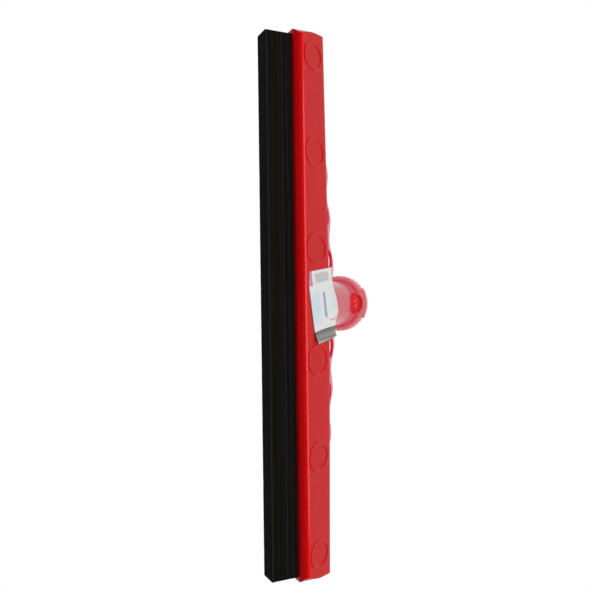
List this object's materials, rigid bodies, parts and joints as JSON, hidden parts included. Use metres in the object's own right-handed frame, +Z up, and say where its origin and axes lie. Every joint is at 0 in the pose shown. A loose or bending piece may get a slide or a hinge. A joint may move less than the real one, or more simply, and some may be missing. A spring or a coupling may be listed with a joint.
{
  "type": "floor squeegee head",
  "caption": "Red moulded floor squeegee head: two jaws pinned round a double foam-rubber blade, with a leaning handle socket and a serrated lock ring.",
  "frame": {"origin": "middle of the blade tips, where the head stands on the floor", "axes": "+X along the blade, +Z up, -Y to the front face with the label; the socket leans towards +Y"},
  "size_m": [0.39, 0.0801, 0.1016],
  "materials": {
    "red_plastic": "moulded, satin gloss with a pale bloom on grazing faces",
    "ring_plastic": "moulded, satin, serrated edge",
    "foam_rubber": "matt closed-cell foam with lengthwise lines",
    "paper": "uncoated label paper, one end loose",
    "pin_plastic": "natural nylon"
  },
  "bodies": {
    "head": {"front_cover": "red_plastic", "rear_body": "red_plastic", "front_blade": "foam_rubber", "rear_blade": "foam_rubber", "label": "paper", "clamp_pin_1": "pin_plastic", "clamp_pin_2": "pin_plastic", "clamp_pin_3": "pin_plastic", "clamp_pin_4": "pin_plastic", "clamp_pin_5": "pin_plastic", "clamp_pin_6": "pin_plastic"},
    "lock_ring": {"lock_ring": "ring_plastic"}
  },
  "joints": [
    {"name": "lock_turn", "type": "hinge", "parent": "head", "child": "lock_ring", "pos_m": [0, 0.04547, 0.08534], "axis": [0, 0.5807, 0.8141], "range_deg": [-40, 40]}
  ]
}
